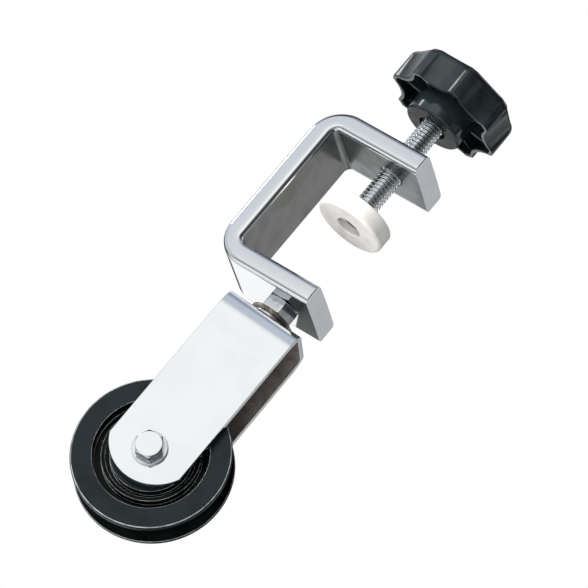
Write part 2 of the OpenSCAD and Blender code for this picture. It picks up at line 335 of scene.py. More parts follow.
def makePlastic(name, own):
    s = {**plasticBase, **own}
    material, tree, shader, place = startMaterial(name, s)
    cloud = useGroup(tree, mottle, place, Scale=s["cloud"], Low=0.40, High=0.70)["Value"]
    lines = useGroup(tree, hairlines, place, Scale=0.7, Amount=s["scratch"])
    surface = useGroup(tree, grain, place, Scale=s["grainScale"], Wave=s["wave"], Fine=s["fine"])["Height"]
    feed(tree, shader.inputs["Base Color"], blendColors(tree, cloud, s["bright"], s["dim"]))
    haze = rescale(tree, cloud, 0.0, 1.0, s["smooth"], s["rough"])
    feed(tree, shader.inputs["Roughness"], calc(tree, "MULTIPLY_ADD", lines["Mask"], 0.15, haze))
    addBump(tree, shader, (surface, s["waveHeight"]), (lines["Height"], 0.0000008))
    return material


finishes = {name: makeMetal(name, own) for name, own in metalSet.items()}
finishes.update({name: makePlastic(name, own) for name, own in plasticSet.items()})
print("finishes made:", len(finishes))


# Mesh helpers. Outlines and sizes are in mm, and a finished mesh is in metres.
def arc(centre, radius, start, end, steps):
    angles = [math.radians(start + (end - start) * k / steps) for k in range(steps + 1)]
    return [(centre[0] + radius * math.cos(a), centre[1] + radius * math.sin(a)) for a in angles]


# Rounds the corners of a closed outline: each point is (x, y) or (x, y, radius)
def rounded(points, steps=4):
    result = []
    for k, point in enumerate(points):
        here = Vector(point[:2])
        radius = point[2] if len(point) > 2 else 0
        if radius == 0:
            result.append(tuple(here))
            continue
        before = (Vector(points[k - 1][:2]) - here).normalized()
        after = (Vector(points[(k + 1) % len(points)][:2]) - here).normalized()
        half = before.angle(after) / 2
        centre = here + (before + after).normalized() * radius / math.sin(half)
        first = here + before * radius / math.tan(half) - centre
        sweep = first.angle_signed(here + after * radius / math.tan(half) - centre)
        for i in range(steps + 1):
            turn = Matrix.Rotation(-sweep * i / steps, 2)
            result.append(tuple(centre + turn @ first))
    return result


def newPiece(name, build, finishNames):
    mesh = bpy.data.meshes.new(name)
    build.to_mesh(mesh)
    build.free()
    piece = bpy.data.objects.new(name, mesh)
    scene.collection.objects.link(piece)
    for finish in finishNames:
        mesh.materials.append(finishes[finish])
    return piece


# Merges doubles, drops what has collapsed, and points the faces outwards
def settle(build, tolerance=0.0005):
    bmesh.ops.remove_doubles(build, verts=build.verts, dist=tolerance)
    bmesh.ops.dissolve_degenerate(build, edges=build.edges, dist=tolerance / 10)
    loose = [v for v in build.verts if not v.link_faces]
    bmesh.ops.delete(build, geom=loose, context="VERTS")
    wires = [e for e in build.edges if not e.link_faces]
    bmesh.ops.delete(build, geom=wires, context="EDGES")
    bmesh.ops.recalc_face_normals(build, faces=build.faces)


# An outline (first axis, second axis) pushed along the third, from low to high
def prism(outline, low, high, plane):
    build = bmesh.new()
    spot = {"XZ": lambda a, b, c: (a, c, b), "XY": lambda a, b, c: (a, b, c),
            "YZ": lambda a, b, c: (c, a, b)}[plane]
    bottom = [build.verts.new(spot(a, b, low)) for a, b in outline]
    top = [build.verts.new(spot(a, b, high)) for a, b in outline]
    build.faces.new(bottom)
    build.faces.new(top)
    for k in range(len(outline)):
        j = (k + 1) % len(outline)
        build.faces.new((bottom[k], bottom[j], top[j], top[k]))
    settle(build)
    return build


# A closed section of (radius, height) points turned about Z
def turned(section, segments=96):
    build = bmesh.new()
    rings = []
    for radius, height in section:
        if radius < 1e-6:
            rings.append([build.verts.new((0, 0, height))] * segments)
            continue
        angles = [2 * math.pi * k / segments for k in range(segments)]
        spots = [(radius * math.cos(a), radius * math.sin(a), height) for a in angles]
        rings.append([build.verts.new(spot) for spot in spots])
    for k, ring in enumerate(rings):
        other = rings[(k + 1) % len(rings)]
        for i in range(segments):
            j = (i + 1) % segments
            corners = list(dict.fromkeys((ring[i], ring[j], other[j], other[i])))
            if len(corners) > 2:
                build.faces.new(corners)
    settle(build)
    return build


def washerSection(inner, outer, low, high, edge):
    return rounded([(inner, low, edge), (outer, low, edge), (outer, high, edge), (inner, high, edge)], 3)


# Applies the piece's modifiers
def applied(piece):
    evaluated = piece.evaluated_get(bpy.context.evaluated_depsgraph_get())
    mesh = bpy.data.meshes.new_from_object(evaluated)
    piece.modifiers.clear()
    old = piece.data
    piece.data = mesh
    bpy.data.meshes.remove(old)
    mesh.name = piece.name
    return piece


def combine(piece, toolBuild, operation="DIFFERENCE"):
    tool = newPiece("tool", toolBuild, [])
    cut = piece.modifiers.new("cut", "BOOLEAN")
    cut.object = tool
    cut.operation = operation
    cut.solver = "EXACT"
    applied(piece)
    bpy.data.objects.remove(tool)


# Puts a piece in its place, in metres, softens its edges and sets its shading
def finishShape(piece, place=None, edge=0, edgeAngle=30, segments=3, smoothAngle=32):
    piece.data.transform(Matrix.Scale(mm, 4) @ (place or Matrix.Identity(4)))
    if edge:
        bevel = piece.modifiers.new("edge", "BEVEL")
        bevel.width = edge * mm
        bevel.segments = segments
        bevel.limit_method = "ANGLE"
        bevel.angle_limit = math.radians(edgeAngle)
        bevel.miter_outer = "MITER_ARC"
        applied(piece)
    piece.data.shade_smooth()
    piece.data.set_sharp_from_angle(angle=math.radians(smoothAngle))
    weighted = piece.modifiers.new("weighted", "WEIGHTED_NORMAL")
    weighted.keep_sharp = True
    weighted.weight = 100
    return applied(piece)


# One piece out of several, each with its own finish
def joined(name, pieces, finishNames):
    build = bmesh.new()
    for index, piece in enumerate(pieces):
        for face in piece.data.polygons:
            face.material_index = max(index, face.material_index)
        build.from_mesh(piece.data)
        bpy.data.objects.remove(piece)
    whole = newPiece(name, build, finishNames)
    weighted = whole.modifiers.new("weighted", "WEIGHTED_NORMAL")
    weighted.keep_sharp = True
    return applied(whole)


def fit(piece, body, slot, *replaced):
    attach(piece, body)
    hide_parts(*replaced)


# Geometry trees
def makeTree(name, inputs, usesGeometry=False):
    tree = bpy.data.node_groups.new(name, "GeometryNodeTree")
    tree.interface.new_socket(name="Geometry", in_out="OUTPUT", socket_type="NodeSocketGeometry")
    if usesGeometry:
        tree.interface.new_socket(name="Geometry", in_out="INPUT", socket_type="NodeSocketGeometry")
    for label, value in inputs.items():
        kind = "NodeSocketInt" if isinstance(value, int) else "NodeSocketFloat"
        socket = tree.interface.new_socket(name=label, in_out="INPUT", socket_type=kind)
        socket.default_value = value
    tree.interface.new_socket(name="Finish", in_out="INPUT", socket_type="NodeSocketMaterial")
    return tree, tree.nodes.new("NodeGroupInput").outputs, tree.nodes.new("NodeGroupOutput").inputs


# Realizes the instances, sets the finish and closes the tree
def endTree(tree, geometry, given, result):
    real = tree.nodes.new("GeometryNodeRealizeInstances")
    coat = tree.nodes.new("GeometryNodeSetMaterial")
    feed(tree, real.inputs["Geometry"], geometry)
    feed(tree, coat.inputs["Geometry"], real.outputs[0])
    feed(tree, coat.inputs["Material"], given["Finish"])
    feed(tree, result["Geometry"], coat.outputs[0])


def grow(name, tree, values, finish, base=None):
    piece = base or bpy.data.objects.new(name, bpy.data.meshes.new(name))
    if base is None:
        scene.collection.objects.link(piece)
    piece.name = name
    growing = piece.modifiers.new("grow", "NODES")
    growing.node_group = tree
    for item in tree.interface.items_tree:
        if item.in_out == "INPUT" and item.name in values:
            growing[item.identifier] = values[item.name]
        if item.in_out == "INPUT" and item.name == "Finish":
            growing[item.identifier] = finishes[finish]
    applied(piece)
    build = bmesh.new()
    build.from_mesh(piece.data)
    settle(build)
    for face in build.faces:
        face.material_index = 0
    build.to_mesh(piece.data)
    build.free()
    piece.data.materials.clear()
    piece.data.materials.append(finishes[finish])
    return piece


def xyz(tree, x, y, z):
    node = tree.nodes.new("ShaderNodeCombineXYZ")
    for socket, value in zip(node.inputs, (x, y, z)):
        feed(tree, socket, value)
    return node.outputs[0]


def splitPosition(tree):
    node = tree.nodes.new("ShaderNodeSeparateXYZ")
    feed(tree, node.inputs[0], tree.nodes.new("GeometryNodeInputPosition").outputs[0])
    return node.outputs


# A unit grid whose rows will be rings, and whose columns go once around. Returns its geometry, and each
# point's share of the rows and of the turn.
def ringGrid(tree, rows, columns):
    grid = tree.nodes.new("GeometryNodeMeshGrid")
    feed(tree, grid.inputs["Vertices X"], rows)
    feed(tree, grid.inputs["Vertices Y"], columns)
    grid.inputs["Size X"].default_value = 1
    grid.inputs["Size Y"].default_value = 1
    place = splitPosition(tree)
    return grid.outputs[0], plus(tree, place[0], 0.5), plus(tree, place[1], 0.5)


def moveToRings(tree, geometry, radius, turn, height):
    angle = times(tree, turn, 2 * math.pi)
    mover = tree.nodes.new("GeometryNodeSetPosition")
    feed(tree, mover.inputs["Geometry"], geometry)
    x = times(tree, radius, calc(tree, "COSINE", angle))
    y = times(tree, radius, calc(tree, "SINE", angle))
    feed(tree, mover.inputs["Position"], xyz(tree, x, y, height))
    return mover.outputs[0]


# A threaded rod along Z with a right-hand helix and chamfered ends
def makeThreadTree():
    tree, given, result = makeTree("threadedRod", {"Major": 4.0, "Minor": 3.4, "Pitch": 1.4, "Start": 0.0,
                                                   "End": 20.0, "Rows per Turn": 14, "Columns": 65})
    perTurn = given["Rows per Turn"]
    turns = calc(tree, "DIVIDE", minus(tree, given["End"], given["Start"]), given["Pitch"])
    spare = plus(tree, perTurn, 4.0)
    rows = plus(tree, calc(tree, "CEIL", times(tree, turns, perTurn)), spare)
    grid, along, turn = ringGrid(tree, rows, given["Columns"])
    row = calc(tree, "ROUND", times(tree, along, minus(tree, rows, 1.0)))
    climb = minus(tree, calc(tree, "DIVIDE", minus(tree, row, 1.0), perTurn), 1.0)
    free = calc(tree, "MULTIPLY_ADD", plus(tree, climb, turn), given["Pitch"], given["Start"])
    height = calc(tree, "MINIMUM", calc(tree, "MAXIMUM", free, given["Start"]), given["End"])
    phase = calc(tree, "FRACT", calc(tree, "DIVIDE", row, perTurn))
    fromRoot = calc(tree, "ABSOLUTE", calc(tree, "MULTIPLY_ADD", phase, 2.0, -1.0))
    depth = minus(tree, given["Major"], given["Minor"])
    ridge = calc(tree, "MULTIPLY_ADD", rescale(tree, fromRoot, 0.15, 0.80), depth, given["Minor"])
    fromEnd = calc(tree, "MINIMUM", minus(tree, height, given["Start"]),
                   minus(tree, given["End"], height))
    chamfer = plus(tree, fromEnd, calc(tree, "MULTIPLY_ADD", depth, -0.4, given["Minor"]))
    between = times(tree, calc(tree, "GREATER_THAN", along, 0.00001),
                    calc(tree, "LESS_THAN", along, 0.99999))
    radius = times(tree, calc(tree, "MINIMUM", ridge, chamfer), between)
    endTree(tree, moveToRings(tree, grid, radius, turn, height), given, result)
    return tree


# A hexagon along Z: flat end faces within a circle, coned corners and a bore
def makeHexTree():
    tree, given, result = makeTree("hexFastener", {"Across Flats": 10.0, "Height": 5.0, "Low Flat": 4.8,
                                                   "High Flat": 4.8, "Bore": 0.0, "Columns": 73})
    grid, along, turn = ringGrid(tree, 7, given["Columns"])
    row = calc(tree, "ROUND", times(tree, along, 6.0))
    sixth = calc(tree, "FRACT", times(tree, turn, 6.0))
    fromFlat = times(tree, minus(tree, sixth, 0.5), math.pi / 3)
    outline = calc(tree, "DIVIDE", times(tree, given["Across Flats"], 0.5),
                   calc(tree, "COSINE", fromFlat))
    slope = math.tan(math.radians(30))

    def coneDrop(flat):
        return calc(tree, "MAXIMUM", times(tree, minus(tree, outline, flat), slope), 0.0)

    lower = coneDrop(given["Low Flat"])
    upper = minus(tree, given["Height"], coneDrop(given["High Flat"]))
    radii = [given["Bore"], given["Low Flat"], outline, outline, given["High Flat"], given["Bore"],
             given["Bore"]]
    heights = [0.0, 0.0, lower, upper, given["Height"], given["Height"], 0.0]

    def byRow(values):
        node = tree.nodes.new("GeometryNodeIndexSwitch")
        node.data_type = "FLOAT"
        while len(node.index_switch_items) < len(values):
            node.index_switch_items.new()
        feed(tree, node.inputs[0], row)
        for socket, value in zip(node.inputs[1:], values):
            feed(tree, socket, value)
        return node.outputs[0]

    endTree(tree, moveToRings(tree, grid, byRow(radii), turn, byRow(heights)), given, result)
    return tree


# Draws in the outside of a turned blank between its lobes
def makeScallopTree():
    tree, given, result = makeTree("scallopedRim", {"Radius": 21.0, "Lobes": 8, "Scallop Depth": 3.0,
                                                    "Scallop Radius": 10.0, "Turn": 0.0, "Core": 12.0,
                                                    "Wall": 1.7, "Ridge Softness": 0.6, "Rim": 78.0,
                                                    "Top": 91.0, "Top Share": 0.5}, True)
    place = splitPosition(tree)
    squares = plus(tree, times(tree, place[0], place[0]), times(tree, place[1], place[1]))
    radius = calc(tree, "SQRT", squares)
    angle = minus(tree, calc(tree, "ARCTAN2", place[1], place[0]), given["Turn"])
    pitch = calc(tree, "DIVIDE", 2 * math.pi, given["Lobes"])
    off = calc(tree, "WRAP", angle, times(tree, pitch, 0.5), times(tree, pitch, -0.5))
    centre = plus(tree, minus(tree, given["Radius"], given["Scallop Depth"]),
                  given["Scallop Radius"])
    across = times(tree, centre, calc(tree, "SINE", off))
    squared = minus(tree, times(tree, given["Scallop Radius"], given["Scallop Radius"]),
                    times(tree, across, across))
    hollow = minus(tree, times(tree, centre, calc(tree, "COSINE", off)),
                  calc(tree, "SQRT", calc(tree, "MAXIMUM", squared, 0.0)))
    outline = calc(tree, "SMOOTH_MIN", given["Radius"], hollow, given["Ridge Softness"])
    edge = minus(tree, given["Radius"], given["Wall"])
    share = rescale(tree, radius, given["Core"], edge, kind="LINEAR")
    fade = rescale(tree, place[2], given["Rim"], given["Top"], 1.0, given["Top Share"], "LINEAR")
    inwards = minus(tree, outline, given["Radius"])
    drawn = times(tree, inwards, times(tree, share, fade))
    factor = plus(tree, calc(tree, "DIVIDE", drawn, calc(tree, "MAXIMUM", radius, 0.001)), 1.0)
    mover = tree.nodes.new("GeometryNodeSetPosition")
    feed(tree, mover.inputs["Geometry"], given["Geometry"])
    x = times(tree, place[0], factor)
    y = times(tree, place[1], factor)
    feed(tree, mover.inputs["Position"], xyz(tree, x, y, place[2]))
    endTree(tree, mover.outputs[0], given, result)
    return tree


# Upright ribs set like spokes between a hub and a rim
def makeRibTree():
    tree, given, result = makeTree("ribSpokes", {"Count": 8, "Inner": 11.0, "Outer": 19.0, "Bottom": 0.0,
                                                 "Top": 9.0, "Thickness": 1.4, "Turn": 0.0})
    block = tree.nodes.new("GeometryNodeMeshCube")
    length = minus(tree, given["Outer"], given["Inner"])
    tall = minus(tree, given["Top"], given["Bottom"])
    feed(tree, block.inputs["Size"], xyz(tree, length, given["Thickness"], tall))
    block.inputs["Vertices X"].default_value = 3
    block.inputs["Vertices Z"].default_value = 3
    shift = tree.nodes.new("GeometryNodeTransform")
    feed(tree, shift.inputs["Geometry"], block.outputs["Mesh"])
    middle = calc(tree, "MULTIPLY_ADD", length, 0.5, given["Inner"])
    centre = calc(tree, "MULTIPLY_ADD", tall, 0.5, given["Bottom"])
    feed(tree, shift.inputs["Translation"], xyz(tree, middle, 0.0, centre))
    line = tree.nodes.new("GeometryNodeMeshLine")
    feed(tree, line.inputs["Count"], given["Count"])
    line.inputs["Offset"].default_value = (0, 0, 0)
    spokes = tree.nodes.new("GeometryNodeInstanceOnPoints")
    feed(tree, spokes.inputs["Points"], line.outputs[0])
    feed(tree, spokes.inputs["Instance"], shift.outputs[0])
    pitch = calc(tree, "DIVIDE", 2 * math.pi, given["Count"])
    index = tree.nodes.new("GeometryNodeInputIndex").outputs[0]
    facing = calc(tree, "MULTIPLY_ADD", index, pitch, given["Turn"])
    feed(tree, spokes.inputs["Rotation"], xyz(tree, 0.0, 0.0, facing))
    endTree(tree, spokes.outputs[0], given, result)
    return tree


threadTree = makeThreadTree()
hexTree = makeHexTree()
scallopTree = makeScallopTree()
ribTree = makeRibTree()
print("geometry trees made")


# Clamp frame: a flat bar bent to a C, with the screw's bore in its upper jaw
frameLow, frameHigh = boxOf("clamp_frame")
screwLow, screwHigh = boxOf("clamp_screw")
clampSet = {"thick": -frameLow.z, "gap": frameHigh.z + frameLow.z, "width": 25.8, "nose": 12.8,
            "throat": 21.0, "bend": 12.0, "innerBend": 2.0, "noseRound": 0.8, "noseCrown": 250.0,
            "bore": screwHigh.x + 0.06, "mouth": 0.5, "edge": 1.8, "softEdge": 0.7, "crown": 0.08}


# The bar's section, from its inner face (-u) to its outer face (+u), with rounded edges and crowned sides
def barSection(s):
    u, v, edge, crown = s["thick"] / 2, s["width"] / 2, s["edge"], s["crown"]
    quarter = arc((u - edge, v - edge), edge, 0, 90, 4)
    side = [(u - edge - (u - edge) * k / 5, 0) for k in range(1, 5)]
    half = quarter + [(x, v) for x, _ in side]
    half += [(-x, y) for x, y in reversed(half)]
    crowned = [(x, y - crown * (x / u) ** 2) for x, y in half]
    return crowned + [(x, -y) for x, y in reversed(crowned)]


# Stations along the bar's middle: (x, z), outward direction, and how far the inner side slides
# towards its corner
def barPath(s):
    middle, half = s["bend"] - s["thick"] / 2, s["thick"] / 2
    tight = s["bend"] - s["thick"] - s["innerBend"]
    back, top, low = -s["throat"] - half, s["gap"] + half, -half
    jaw = [s["nose"] + 2 - k * 4.4 for k in range(8)]
    jaw = [x for x in jaw if x > back + middle + 0.5]

    def bend(z, start, end, side):
        centre = Vector((back + middle, z))
        for x, height in arc(centre, middle, start, end, 20):
            out = (Vector((x, height)) - centre) / middle
            yield Vector((x, height)), out, (Vector((-1, side)) - out) * tight

    still = Vector((0, 0))
    tall, steps = top - low - 2 * middle, 9
    climb = [low + middle + tall * k / steps for k in range(1, steps)]
    path = [(Vector((x, low)), Vector((0, -1)), still) for x in jaw]
    path += bend(low + middle, 270, 180, -1)
    path += [(Vector((back, z)), Vector((-1, 0)), still) for z in climb]
    path += bend(top - middle, 180, 90, 1)
    return path + [(Vector((x, top)), Vector((0, 1)), still) for x in reversed(jaw)]


# Where on the clamp each finish goes, in mm from its corners or as a part of the face's normal
clampPaint = {"slack": 0.05, "sideways": 0.25, "underJaw": 0.1, "down": -0.9, "noseInset": 0.6,
              "sideInset": 0.3, "noseDepth": 1.6, "forward": 0.35, "flatDown": -0.98}


def paintClamp(piece, s, p):
    unturn = turnedClamp.inverted()
    for face in piece.data.polygons:
        spot = unturn @ face.center / mm
        normal = unturn.to_3x3() @ face.normal
        inside = -p["slack"] < spot.z < s["gap"] + p["slack"] and abs(normal.y) < p["sideways"]
        inside = inside and spot.x < s["nose"] - p["noseInset"]
        if inside and spot.z > s["gap"] - p["underJaw"] and normal.z < p["down"]:
            face.material_index = 4
        # painted shade: the inside faces get the darker plate colour
        elif inside and abs(spot.y) < s["width"] / 2 - p["sideInset"]:
            face.material_index = 1
        elif spot.x > s["nose"] - p["noseDepth"] and normal.x > p["forward"]:
            face.material_index = 2
        elif spot.z < 0 and normal.z < p["flatDown"]:
            face.material_index = 3


def makeClampFrame(s):
    gap, nose, half = s["gap"], s["nose"], s["width"] / 2
    top = gap + s["thick"]
    build = bmesh.new()
    section = barSection(s)
    rings = []
    for spot, out, slide in barPath(s):
        placed = [(spot + out * u + slide * (0.5 - u / s["thick"]), v) for u, v in section]
        rings.append([build.verts.new((place.x, v, place.y)) for place, v in placed])
    for ring, after in zip(rings, rings[1:]):
        for k in range(len(section)):
            j = (k + 1) % len(section)
            build.faces.new((ring[k], ring[j], after[j], after[k]))
    build.faces.new(rings[0])
    build.faces.new(rings[-1])
    settle(build)
    piece = newPiece("clampFrame", build, ["polishedChrome", "dullShadedPlate", "satinChrome",
                                           "undersideChrome", "jawShadow"])
    crown, side = s["noseCrown"], half + 0.15
    reach = math.degrees(math.asin((half - s["noseRound"] - 0.4) / crown))
    corner = nose - crown + math.sqrt(crown ** 2 - half ** 2)
    plan = [(-60, -side), (corner, -side, s["noseRound"])] + arc((nose - crown, 0), crown, -reach, reach, 6)
    plan = rounded(plan + [(corner, side, s["noseRound"]), (-60, side)], 6)
    combine(piece, prism(plan, -s["thick"] - 5, top + 5, "XY"), "INTERSECT")
    bore, mouth, past = s["bore"], s["mouth"], 3
    wide = bore + past + mouth
    combine(piece, turned([(0, gap - past), (wide, gap - past), (bore, gap + mouth), (bore, top - mouth),
                           (wide, top + past), (0, top + past)], 64))
    finishShape(piece, turnedClamp, s["softEdge"], 40, 3, 35)
    paintClamp(piece, s, clampPaint)
    fit(piece, "clamp", "chrome_plate", "clamp_frame")


makeClampFrame(clampSet)


# Yoke: a strap bent to a U, with round tips, a swivel hole and axle holes
yokeLow, yokeHigh = boxOf("yoke")
yokeSet = {"thick": 2.0, "bend": 3.0, "tipRound": 15.8, "swivelHole": 3.24, "axleHole": 3.2, "edge": 0.3,
           "bendTall": 7.5}


def makeYoke(s):
    half, wide = yokeHigh.y, yokeHigh.x
    t, top, low, bend, tall = s["thick"], yokeHigh.z, yokeLow.z, s["bend"], s["bendTall"]
    inner = bend - t
    outerArc = arc((0, 0), bend, 0, 90, 16)
    innerArc = arc((half - t - inner, 0), inner, 0, 90, 10)
    right = [(half, low - 2)] + [(half - bend + y, top + (z - bend) * tall / bend) for y, z in outerArc]
    left = [(half - t, low - 2)] + [(y, top - t + (z - inner) * (tall - t) / inner) for y, z in innerArc]
    side = right + [(-y, z) for y, z in reversed(right)] + [(-y, z) for y, z in left] + left[::-1]
    piece = newPiece("yoke", prism(side, -wide - 1, wide + 1, "YZ"), ["polishedChrome", "yokeInside"])
    r = s["tipRound"]
    centre = low + r
    drop = math.degrees(math.acos(wide / r))
    front = [(wide, top + 1), (-wide, top + 1)] + arc((0, centre), r, 180 + drop, 360 - drop, 48)
    combine(piece, prism(front, -half - 1, half + 1, "XZ"), "INTERSECT")
    swivel, axle, past = s["swivelHole"], s["axleHole"], 3
    bridge = top - 9
    combine(piece, turned([(0, bridge), (swivel, bridge), (swivel, top + past), (0, top + past)], 48))
    drill = turned([(0, -half - past), (axle, -half - past), (axle, half + past), (0, half + past)], 48)
    drill.transform(alongAxle)
    combine(piece, drill)
    finishShape(piece, None, s["edge"], 35, 2, 35)
    reach, sideways = 0.1, 0.3  # how far the inside's finish goes past its edges, and the most a face turns
    for face in piece.data.polygons:
        spot = face.center / mm
        between = abs(spot.y) < half - t + reach and spot.z < top - t + reach
        if between and abs(face.normal.x) < sideways:
            face.material_index = 1
    fit(piece, "yoke", "chrome_plate", "yoke")


makeYoke(yokeSet)
print("clamp frame and yoke made")


# Sheave: a grooved wheel with stepped rings on both faces
sheaveHigh = boxOf("sheave")[1]
bushHigh = boxOf("sheave_bush")[1]
sheaveSet = {"radius": sheaveHigh.x, "half": sheaveHigh.y, "bore": bushHigh.x, "hub": bushHigh.y,
             "groove": 3.6, "grooveDepth": 6.6, "rim": 0.9, "boss": 11.2, "step": 13.3, "ringIn": 14.7,
             "ringOut": 16.2, "recess": 18.9, "innerDepth": 3.0, "ringDrop": 1.3, "recessDepth": 4.0,
             "segments": 160}


# The recess and the groove are darker with painted shade, and the crests of the edges are lighter, partly
# wear and partly a painted highlight: mm, and a part of the normal
sheavePaint = {"recessReach": 0.1, "recessTop": 0.5, "rimInset": 0.4, "grooveTop": 1.0,
               "crest": (0.70, 0.90), "crestInset": 0.5}


def paintSheave(piece, s, p):
    crestLow, crestHigh = p["crest"]
    for face in piece.data.polygons:
        spot = face.center / mm - Vector((0, 0, axleZ))
        radius, depth = math.hypot(spot.x, spot.z), s["half"] - abs(spot.y)
        recess = radius < s["recess"] + p["recessReach"] and depth > p["recessTop"]
        groove = radius < s["radius"] - p["rimInset"] and depth > p["grooveTop"]
        # painted shade in the recess and the groove
        face.material_index = 1 if recess or groove else 0
        # lighter crests: partly wear, partly a painted highlight
        if crestLow < abs(face.normal.y) < crestHigh and radius > s["step"] - p["crestInset"]:
            face.material_index = 2


def makeSheave(s):
    outer, half, hub = s["radius"], s["half"], s["hub"]
    floor = outer - s["grooveDepth"]
    inner, ring, deep = half - s["innerDepth"], half - s["ringDrop"], half - s["recessDepth"]
    face = [(s["bore"], hub, 0.25), (s["boss"], hub, 0.3), (s["boss"], half - 0.4, 0.15),
            (s["step"], half - 0.4, 0.25), (s["step"], inner, 0.3), (s["ringIn"], inner, 0.3),
            (s["ringIn"], ring, 0.25), (s["ringOut"], ring, 0.25), (s["ringOut"], deep, 0.3),
            (s["recess"], deep, 0.5), (s["recess"], half, 0.3), (outer, half, s["rim"]),
            (outer, s["groove"] + 1.15, 0.35)]
    groove = arc((floor + s["groove"], 0), s["groove"], 97, 263, 24)
    mirrored = [(r, -z, *rest) for r, z, *rest in reversed(face)]
    section = rounded(face + groove + mirrored, 4)
    piece = newPiece("sheave", turned(section, s["segments"]), ["sheaveBlack", "sheaveDark", "sheaveWorn"])
    finishShape(piece, alongAxle, smoothAngle=40)
    paintSheave(piece, s, sheavePaint)
    fit(piece, "sheave", "black_nylon", "sheave")


makeSheave(sheaveSet)


# Rings and washers, sized by their CAD nodes: body, record slot, finish, axis, bore radius, edge rounding
ringSet = {
    "sheave_bush": ("sheave", "bronze", "bronze", "Y", 4.8, 0.2),
    "axle_sleeve": ("yoke", "zinc_steel", "zincSteel", "Y", 3.2, 0.15),
    "axle_head_washer": ("yoke", "zinc_steel", "brushedWasher", "Y", 3.2, 0.22),
    "thrust_washer_front": ("yoke", "zinc_steel", "zincSteel", "Y", 4.77, 0.2),
    "thrust_washer_back": ("yoke", "zinc_steel", "zincSteel", "Y", 4.77, 0.2),
    "axle_nut_washer": ("yoke", "zinc_steel", "zincSteel", "Y", 3.2, 0.2),
    "swivel_washer": ("clamp", "brass_washer", "tanBrass", "Z", 3.2, 0.35),
    "swivel_spacer": ("clamp", "zinc_steel", "zincSteel", "Z", 3.2, 0.2),
    "stud_washer": ("clamp", "zinc_steel", "zincSteel", "Z", 3.2, 0.2),
    # the pad's ring sits in the pad's hole, and its dark colour is painted shade
    "pad_ring": ("screw", "zinc_steel", "padHoleShadedSteel", "Z", 2.62, 0.15),
}


def makeRing(node, body, slot, finish, axis, bore, edge):
    low, high = boxOf(node)
    start, end = (low.y, high.y) if axis == "Y" else (low.z, high.z)
    section = washerSection(bore, high.x, start, end, edge)
    words = node.split("_")
    name = words[0] + "".join(word.title() for word in words[1:])
    piece = newPiece(name, turned(section, 96), [finish])
    finishShape(piece, awayFromBolt if axis == "Y" else None)
    fit(piece, body, slot, node)


for node, values in ringSet.items():
    makeRing(node, *values)
print("sheave and rings made")


# Hex fasteners: body, across flats, flat circle cuts at the low and high end, bore
def makeHex(name, s, height, place):
    values = {"Across Flats": s["flats"], "Height": height, "Low Flat": s["flats"] / 2 - s["lowCut"],
              "High Flat": s["flats"] / 2 - s["highCut"], "Bore": s.get("bore", 0.0)}
    piece = grow(name, hexTree, values, s["finish"])
    return finishShape(piece, place, 0.14, 25, 2, 20)


nutSet = {"flats": 11.11, "lowCut": 0.35, "highCut": 0.35, "bore": 3.2, "finish": "zincSteel"}
shankRadius = 3.175  # the bolt and the stud are 1/4 inch
headSet = {"flats": 8.73, "lowCut": 0.05, "highCut": 0.1, "finish": "polishedChrome", "turn": 6.0}
threadSet = {"axleMinor": 2.65, "axlePitch": 1.27, "screwDepth": 0.62, "screwPitch": 25.4 / 18}


def makeSwivelNut():
    low, high = boxOf("swivel_nut")
    nut = makeHex("swivelNut", nutSet, high.z - low.z, turnedClamp @ Matrix.Translation((0, 0, low.z)))
    fit(nut, "clamp", "zinc_steel", "swivel_nut")


def makeAxleNut():
    low, high = boxOf("axle_nut")
    place = awayFromBolt @ Matrix.Translation((0, 0, low.y)) @ Matrix.Rotation(math.radians(30), 4, "Z")
    nut = makeHex("axleNut", nutSet, high.y - low.y, place)
    fit(nut, "yoke", "zinc_steel", "axle_nut")


def makeAxleBolt():
    low, high = boxOf("axle_bolt")
    face = boxOf("axle_head_washer")[0].y
    headHeight = face - low.y
    turn = Matrix.Rotation(math.radians(headSet["turn"]), 4, "Z")
    place = alongAxle @ Matrix.Translation((0, 0, -face)) @ turn
    head = makeHex("boltHead", headSet, headHeight, place)
    for side in head.data.polygons:  # painted shade: its six sides are darker than its end
        side.material_index = 3 if abs(side.normal.y) < 0.5 else 0
    shankEnd = boxOf("axle_nut")[0].y
    outline = [(0, face - 0.5), (shankRadius, face - 0.5), (shankRadius, shankEnd + 1), (0, shankEnd + 1)]
    shank = newPiece("boltShank", turned(outline, 64), ["polishedChrome"])
    finishShape(shank, awayFromBolt)
    values = {"Major": shankRadius, "Minor": threadSet["axleMinor"], "Pitch": threadSet["axlePitch"],
              "Start": shankEnd, "End": high.y}
    thread = grow("boltThread", threadTree, values, "polishedChrome")
    finishShape(thread, awayFromBolt, smoothAngle=180)
    finishNames = [headSet["finish"], "zincSteel", "zincSteel", "darkSide"]
    fit(joined("axleBolt", [head, shank, thread], finishNames), "yoke", "zinc_steel", "axle_bolt")


def makeSwivelStud():
    low, high = boxOf("swivel_stud")
    head, neck = high.x, low.z + 3.4
    section = rounded([(0, low.z), (head, low.z, 1.5), (head, neck, 0.3), (shankRadius, neck),
                       (shankRadius, high.z, 0.3), (0, high.z)], 5)
    piece = newPiece("swivelStud", turned(section, 64), ["zincSteel"])
    finishShape(piece)
    fit(piece, "clamp", "zinc_steel", "swivel_stud")


makeSwivelNut()
makeAxleNut()
makeAxleBolt()
makeSwivelStud()
print("fasteners made")


# Clamp screw: threaded from the pad to the knob, with a plain journal in the pad
padLow, padHigh = boxOf("pressure_pad")
knobLow, knobHigh = boxOf("star_knob")
padSet = {"radius": padHigh.x, "hole": 4.5, "holeDepth": 3.6, "seat": 4.17, "seatDepth": 1.6,
          "journal": 2.65, "edge": 1.3, "topEdge": 0.6}


